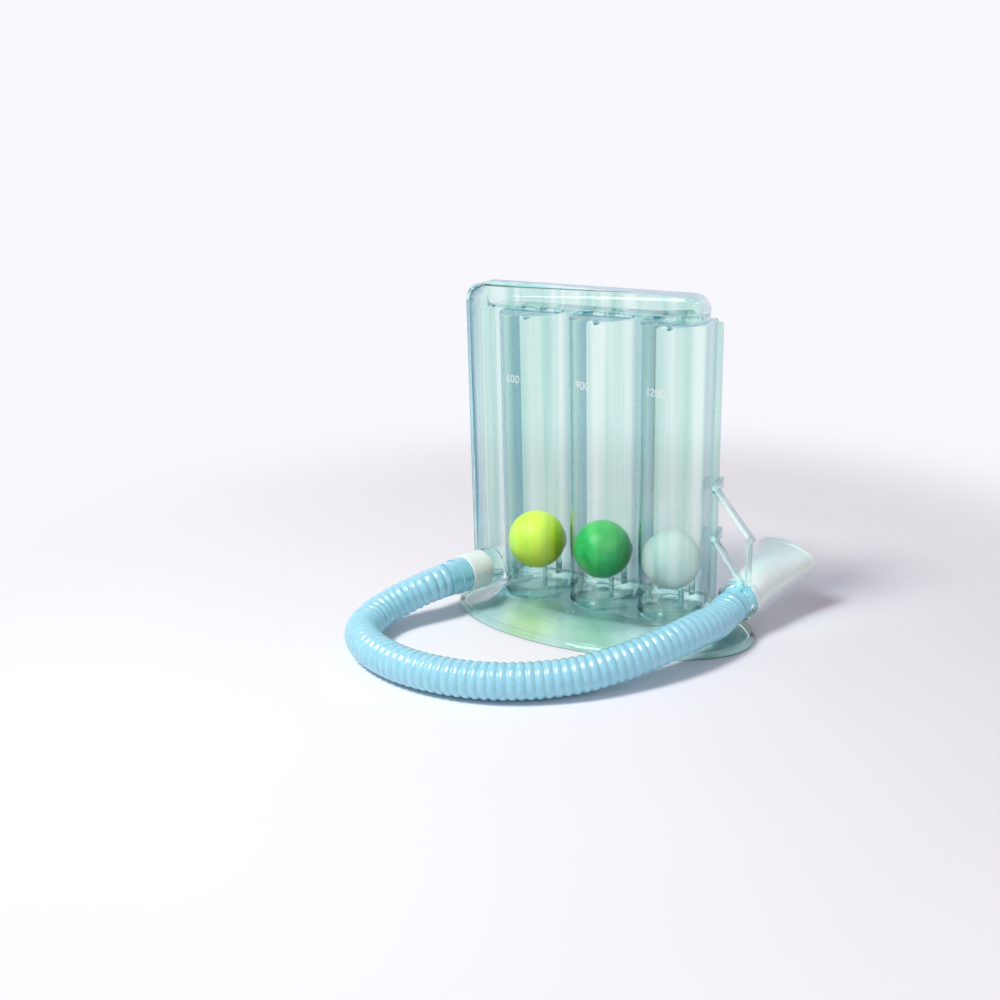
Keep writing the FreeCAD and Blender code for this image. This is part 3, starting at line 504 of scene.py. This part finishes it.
# %% rings of the foot
SHARES = [1 - k / 18 for k in range(19)]
RECESS_FLOOR = SHELL_BOTTOM - 0.06
UNDERSIDE = 8.6
recess = lobes(COLUMN_RADIUS + 0.2, SHELL_BACK + 0.2)
recess_edge = lobes(COLUMN_RADIUS + 0.25, SHELL_BACK + 0.3, 0.35)
foot_rings = [ring_from(lobes(13.0, 13.0), RECESS_FLOOR), ring_from(recess, RECESS_FLOOR)]
foot_rings += [ring_from(recess, CROWN_TOP - 0.5), ring_from(recess_edge, CROWN_TOP - 0.05)]
foot_rings += [ring_from(obround(18.6), CROWN_TOP), ring_from(obround(19.8), CROWN_TOP - 0.03)]
foot_rings += [ring_from(between(oval(3.4), obround(20.6), f), slope(f, 3.1, 12.9)) for f in SHARES]
# the rim, as how far it lies inside the foot's outline and how high, from the top to the inside
RIM = [(2.9, 3.3), (2.4, 3.75), (1.8, 4.0), (1.1, 3.9), (0.5, 3.4), (0.1, 2.6), (0.0, 1.8)]
RIM += [(0.1, 0.7), (0.5, 0.1), (0.9, 0.0), (2.0, 0.0), (2.6, 0.3)]
foot_rings += [ring_from(oval(trim), z) for trim, z in RIM]
foot_rings += [ring_from(between(oval(3.6), obround(18.4), f), slope(f, 1.1, UNDERSIDE))
               for f in reversed(SHARES)]
foot_rings += [ring_from(obround(15.0), UNDERSIDE), ring_from(obround(12.0), UNDERSIDE)]
print("foot: %d rings of %d points" % (len(foot_rings), AROUND))

# %% faces of the foot
foot_faces = []
for i in range(len(foot_rings) - 1):
    foot_faces += strip(i * AROUND, (i + 1) * AROUND, AROUND)
HALF = AROUND // 2
for base in (0, (len(foot_rings) - 1) * AROUND):
    # the first and the last ring are closed from side to side
    foot_faces.append((base, base + 1, base + AROUND - 1))
    foot_faces.append((base + HALF - 1, base + HALF, base + HALF + 1))
    for k in range(1, HALF - 1):
        foot_faces.append((base + k, base + k + 1, base + AROUND - k - 1, base + AROUND - k))
foot = ring_piece("foot_clear", foot_rings, foot_faces, CLEAR_FOOT, 50)

# %% [markdown]
# ## Mouthpiece
#
# The mouthpiece is one moulding that flows from a round socket into a flat, slightly square mouth with a
# rolled lip. Its rings run up the outside, over the lip, down the inside and round the step that stops the
# hose's collar. Each ring is a superellipse: an ellipse at power 2, and squarer above it.

# %% shape of the mouthpiece
SOCKET = Vector((65.6, 13.0, 17.2)) * MM
AIM = Vector((11.2, 41.0, 9.6)).normalized()
ROLL = math.radians(6)
side_way = AIM.cross(Vector((0, 0, 1))).normalized()
up_way = side_way.cross(AIM).normalized()
WIDE = side_way * math.cos(ROLL) - up_way * math.sin(ROLL)
THICK = AIM.cross(WIDE)
MOUTH_WIDE, MOUTH_THICK, SOCKET_RADIUS = 14.9, 6.8, 9.5
MOUTH_WALL = 1.5
BORE_RADIUS = 6.6
FAN_START, FAN_END = 12.0, 43.6
RING_POINTS = 72
ROUND_POWER = 2.0


def fan(s, wide, thick, start, begin=FAN_START):
    # half width, half thickness and power of the ring at a distance along the mouthpiece
    t = max(0.0, min(1.0, (s - begin) / (FAN_END - begin)))
    e = 0.5 * t + 0.5 * t * t * (3 - 2 * t)
    return start + (wide - start) * e, start + (thick - start) * e, ROUND_POWER + 0.5 * e


def mouth_ring(s, wide, thick, power):
    ring = []
    for k in range(RING_POINTS):
        a = 2 * math.pi * k / RING_POINTS
        c, d = math.cos(a), math.sin(a)
        x = math.copysign(abs(c) ** (2 / power), c) * wide
        y = math.copysign(abs(d) ** (2 / power), d) * thick
        ring.append(SOCKET + (AIM * s + WIDE * x + THICK * y) * MM)
    return ring


# %% rings and faces of the mouthpiece
# distance and radius of the round socket outside and inside, then distance and swell of the lip
SOCKET_OUT = [(0.0, 9.1), (0.15, 9.35), (0.5, 9.5), (2.6, 9.5), (2.9, 9.3), (3.3, 9.3), (3.6, 9.5)]
SOCKET_OUT += [(11.0, 9.5)]
SOCKET_IN = [(10.4, 6.6), (10.31, 6.7), (10.31, 7.9), (9.8, 7.96), (0.6, 7.96), (0.1, 8.3), (0.0, 8.6)]
LIP = [(41.5, 0.35), (41.9, 0.6), (42.5, 0.7), (43.1, 0.6), (43.5, 0.25), (43.6, -0.2)]
LIP += [(43.5, -0.9), (43.1, -1.4)]
FAN_STEPS = 14
going_up = [FAN_START + 29.2 * k / FAN_STEPS for k in range(FAN_STEPS + 1)]
coming_down = [42.4 - 30.0 * k / FAN_STEPS for k in range(FAN_STEPS + 1)]
BORE_FAN_START = 10.0
outer = (MOUTH_WIDE, MOUTH_THICK, SOCKET_RADIUS)
inner = (MOUTH_WIDE - MOUTH_WALL, MOUTH_THICK - MOUTH_WALL, BORE_RADIUS, BORE_FAN_START)
mouth_rings = [mouth_ring(s, r, r, ROUND_POWER) for s, r in SOCKET_OUT]
mouth_rings += [mouth_ring(s, *fan(s, *outer)) for s in going_up]
for s, swell in LIP:
    wide, thick, power = fan(s, *outer)
    mouth_rings.append(mouth_ring(s, wide + swell, thick + swell, power))
mouth_rings += [mouth_ring(s, *fan(s, *inner)) for s in coming_down]
mouth_rings += [mouth_ring(s, r, r, ROUND_POWER) for s, r in SOCKET_IN]
mouth_faces = []
for i in range(len(mouth_rings)):
    following = (i + 1) % len(mouth_rings)
    mouth_faces += strip(i * RING_POINTS, following * RING_POINTS, RING_POINTS)
mouthpiece = ring_piece("mouthpiece_mint", mouth_rings, mouth_faces, MINT, 40)

# %% [markdown]
# ## Flow figures
#
# Each column carries the flow that lifts its ball, in small raised figures. Blender's text gives the
# letters. It is made a mesh, its long edges are cut, and then each point is laid round the column.

# %% figures on the columns
FIGURE_HEIGHT_MM = 5.0
FIGURE_PLACE_MM = 118.0
FIGURE_LEAN = math.radians(-13)
FIGURE_THICK_MM = 0.11
FIGURE_BEVEL_MM = 0.04


def column_number(text, column_x):
    curve = bpy.data.curves.new("number_" + text, "FONT")
    curve.body = text
    curve.size = FIGURE_HEIGHT_MM * MM
    curve.extrude = FIGURE_THICK_MM * MM
    curve.bevel_depth = FIGURE_BEVEL_MM * MM
    curve.align_x = "CENTER"
    flat = show(bpy.data.objects.new("flat_text", curve))
    mesh = evaluated(flat)
    bpy.data.objects.remove(flat)
    work = bmesh.new()
    work.from_mesh(mesh)
    bmesh.ops.remove_doubles(work, verts=work.verts, dist=0.001 * MM)
    long_edges = [e for e in work.edges if e.calc_length() > 0.8 * MM]
    bmesh.ops.subdivide_edges(work, edges=long_edges, cuts=2)
    bmesh.ops.triangulate(work, faces=work.faces)
    lift = FIGURE_THICK_MM + FIGURE_BEVEL_MM + 0.01
    for vertex in work.verts:
        along, up, out = vertex.co
        angle = FIGURE_LEAN + along / (COLUMN_RADIUS * MM)
        reach = (COLUMN_RADIUS + lift) * MM + out
        x = column_x * MM + math.sin(angle) * reach
        vertex.co = (x, -math.cos(angle) * reach, FIGURE_PLACE_MM * MM + up)
    bmesh.ops.recalc_face_normals(work, faces=work.faces)
    work.to_mesh(mesh)
    work.free()
    mesh.materials.clear()
    mesh.materials.append(figures)
    return show(bpy.data.objects.new("number_" + text, mesh))


COLUMNS = {"600": -COLUMN_PITCH, "900": 0.0, "1200": COLUMN_PITCH}
numbers = [column_number(text, x) for text, x in COLUMNS.items()]
print("figures:", [len(piece.data.polygons) for piece in numbers], "faces")

# %% [markdown]
# ## Carried over nodes
#
# The balls, the cuff and the hose's collars are right as they are in the CAD model. They keep their meshes,
# and only their material slots change.

# %% finishes on the CAD nodes
CARRIED = {
    "ball_left": LIME, "ball_middle": GREEN, "ball_right": FROST, "port_cuff": MINT,
    "hose_collar_start": HOSE, "hose_collar_end": HOSE,
}
for node, material in CARRIED.items():
    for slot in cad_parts[node].material_slots:
        slot.material = material
print("carried over:", ", ".join(CARRIED))

# %% [markdown]
# ## Floor
#
# The photograph has a pale ground without a horizon. Near the object the floor is a matt sheet that takes
# the shadows. Further out it fades into the even tone that the world shows behind it, so the brightness of
# the ground does not depend on the lamps.

# %% floor
FLOOR_HALF = 1.5
FADE_START, FADE_END = 0.17, 0.42
BACKDROP = "#F8F8FE"
corners = [(x * FLOOR_HALF, y * FLOOR_HALF, 0) for x, y in ((-1, -1), (1, -1), (1, 1), (-1, 1))]
floor_mesh = bpy.data.meshes.new("floor")
floor_mesh.from_pydata(corners, [], [(0, 1, 2, 3)])
floor = show(bpy.data.objects.new("floor", floor_mesh))
pale_floor, tree = new_material("pale_floor")
cloudy = add(tree, "ShaderNodeValToRGB", {"Fac": mottle(tree, 0.004, 2.0)},
             [(0.3, "#F4F4F9"), (0.7, "#F7F7FC")])
sheet = add(tree, "ShaderNodeBsdfPrincipled", {"Base Color": cloudy, "Roughness": 0.7,
                                               "Specular IOR Level": 0.1})
place = add(tree, "ShaderNodeTexCoord")
reach = add(tree, "ShaderNodeVectorMath", {0: place.outputs["Object"]}, operation="LENGTH")
fade = add(tree, "ShaderNodeMapRange", {"Value": reach.outputs["Value"], "From Min": FADE_START,
                                        "From Max": FADE_END}, interpolation_type="SMOOTHERSTEP")
far = add(tree, "ShaderNodeEmission", {"Color": hex_colour(BACKDROP), "Strength": 1.0})
ground = add(tree, "ShaderNodeMixShader", {"Fac": fade, 1: sheet, 2: far})
add(tree, "ShaderNodeOutputMaterial", {"Surface": ground})
floor_mesh.materials.append(pale_floor)
print("floor: %.1f m wide, fades from %.2f to %.2f m" % (2 * FLOOR_HALF, FADE_START, FADE_END))

# %% [markdown]
# ## Lamps and world
#
# A soft key lamp stands at the upper left and a weak fill at the right. The key is hidden from
# reflections, because its picture in the clear shells would burn out. Two lamps for reflections alone take
# its place: a small faint one for everything, and a wide one for the hose and the mouthpiece, which gives
# the ribs their gleams. The camera, reflections and clear plastic see the backdrop's tone, and the
# surfaces get a weaker world light.

# %% lamps


def lamp(name, azimuth, elevation, distance, size, power, colour=WHITE):
    # angles in degrees, distance and size in metres, power in watts
    data = bpy.data.lights.new(name, "AREA")
    data.shape = "RECTANGLE"
    data.size, data.size_y = size
    data.energy = power
    data.color = hex_colour(colour)[:3]
    obj = show(bpy.data.objects.new(name, data))
    aim = Vector((0, 0, 0.06))
    obj.location = aim + direction(math.radians(azimuth), math.radians(elevation)) * distance
    obj.rotation_euler = (aim - obj.location).to_track_quat("-Z", "Y").to_euler()
    return obj


key = lamp("key", -34, 55, 1.0, (0.24, 0.24), 7.9, "#FFFFFC")
key.visible_glossy = False
sparkle = lamp("sparkle", -34, 55, 1.0, (0.24, 0.14), 1.2)
sparkle.visible_diffuse = False
gleam = lamp("gleam", -25, 60, 1.0, (0.5, 0.5), 9.0)
gleam.visible_diffuse = False
gleam.visible_transmission = False
glossy_pieces = bpy.data.collections.new("glossy_pieces")
glossy_pieces.objects.link(hose)
glossy_pieces.objects.link(mouthpiece)
gleam.light_linking.receiver_collection = glossy_pieces
lamp("fill", 70, 40, 1.2, (0.5, 0.5), 0.6)
print("lamps:", [data.name for data in bpy.data.lights])

# %% world
world = bpy.data.worlds.new("studio")
bpy.context.scene.world = world
world.use_nodes = True
tree = world.node_tree
tree.nodes.clear()
rays = add(tree, "ShaderNodeLightPath").outputs
seen = add(tree, MATHS, {0: rays["Is Camera Ray"], 1: rays["Is Glossy Ray"]}, operation="MAXIMUM")
seen = add(tree, MATHS, {0: seen, 1: rays["Is Transmission Ray"]}, operation="MAXIMUM")
light = add(tree, "ShaderNodeBackground", {"Color": hex_colour("#F8ECF6"), "Strength": 0.36})
backdrop = add(tree, "ShaderNodeBackground", {"Color": hex_colour(BACKDROP), "Strength": 1.0})
sky = add(tree, "ShaderNodeMixShader", {"Fac": seen, 1: light, 2: backdrop})
add(tree, "ShaderNodeOutputWorld", {"Surface": sky})
bpy.context.scene.view_settings.view_transform = "Standard"

# %% [markdown]
# ## What moves with what
#
# Every piece rides on a body of the CAD model and stands for the node that it replaces.

# %% bodies
for piece, node in clear_pieces:
    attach(piece, "housing")
    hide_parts(node)
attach(foot, "housing")
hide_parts("base_foot")
for piece in numbers:
    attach(piece, "housing")
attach(mouthpiece, "mouth_end")
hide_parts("mouthpiece")
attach(hose, "housing")
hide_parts("hose_tube")
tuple(HOSE_PATH[0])
print("dressed:", len(clear_pieces) + len(numbers) + 3, "own pieces and", len(CARRIED), "carried over")
